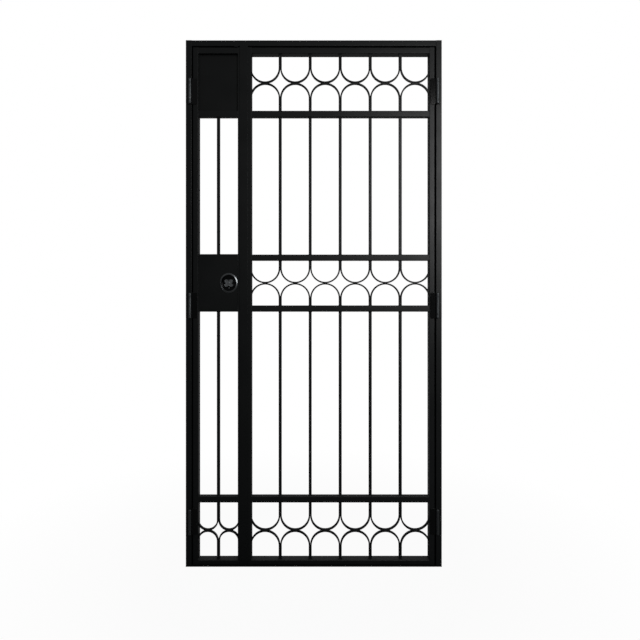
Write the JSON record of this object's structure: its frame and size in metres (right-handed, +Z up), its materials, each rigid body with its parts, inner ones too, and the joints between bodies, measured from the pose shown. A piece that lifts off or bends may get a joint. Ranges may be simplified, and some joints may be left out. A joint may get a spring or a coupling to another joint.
{
  "type": "double-leaf steel security grille door",
  "caption": "Steel security door of two unequal leaves in a frame, each a grille of upright bars and facing bent hoops, with a boxed lock and a sheet panel on the narrow leaf.",
  "frame": {"origin": "middle of the underside of the sill, where the frame stands on the threshold", "axes": "+Z up, -Y towards the outside, from which the lock plate and hinges show, +X to the right seen from the outside"},
  "size_m": [1.038, 0.0635, 2.134],
  "materials": {
    "black_painted_steel": "satin black enamel",
    "hinge_enamel": "gloss black enamel",
    "dark_nickel": "dark nickel plate",
    "zinc_plated_steel": "bright zinc plate"
  },
  "bodies": {
    "frame": {"left_jamb": "black_painted_steel", "right_jamb": "black_painted_steel", "head": "black_painted_steel", "sill": "black_painted_steel", "left_stop": "black_painted_steel", "right_stop": "black_painted_steel", "head_stop": "black_painted_steel", "sill_stop": "black_painted_steel", "left_jamb_hinge_plates": "hinge_enamel", "right_jamb_hinge_plates": "hinge_enamel"},
    "large_leaf": {"large_hinge_stile": "black_painted_steel", "large_meeting_stile": "black_painted_steel", "large_top_rail": "black_painted_steel", "large_upper_rail": "black_painted_steel", "large_lock_upper_rail": "black_painted_steel", "large_lock_lower_rail": "black_painted_steel", "large_lower_rail": "black_painted_steel", "large_bottom_rail": "black_painted_steel", "large_upper_bars": "black_painted_steel", "large_lower_bars": "black_painted_steel", "large_hoops": "black_painted_steel", "large_hinge_plates": "hinge_enamel", "strike_plate": "zinc_plated_steel"},
    "small_leaf": {"small_hinge_stile": "black_painted_steel", "small_meeting_stile": "black_painted_steel", "small_top_rail": "black_painted_steel", "small_upper_rail": "black_painted_steel", "small_lock_upper_rail": "black_painted_steel", "small_lock_lower_rail": "black_painted_steel", "small_lower_rail": "black_painted_steel", "small_bottom_rail": "black_painted_steel", "small_upper_bar": "black_painted_steel", "small_lower_bar": "black_painted_steel", "small_hoops": "black_painted_steel", "small_hinge_plates": "hinge_enamel", "small_top_panel": "black_painted_steel", "lock_front_plate": "black_painted_steel", "lock_back_plate": "black_painted_steel", "lock_rose": "dark_nickel", "lock_case": "zinc_plated_steel", "lock_forend": "zinc_plated_steel"},
    "turn_knob": {"lock_knob": "dark_nickel"}
  },
  "joints": [
    {"name": "large_leaf_swing", "type": "hinge", "parent": "frame", "child": "large_leaf", "pos_m": [0.5005, -0.032, 1.059], "axis": [0, 0, 1], "range_deg": [0, 170]},
    {"name": "small_leaf_swing", "type": "hinge", "parent": "frame", "child": "small_leaf", "pos_m": [-0.5005, -0.032, 1.059], "axis": [0, 0, -1], "range_deg": [0, 170]},
    {"name": "knob_turn", "type": "hinge", "parent": "small_leaf", "child": "turn_knob", "pos_m": [-0.344, -0.027, 1.15], "axis": [0, 1, 0], "range_deg": [0, 90]}
  ]
}
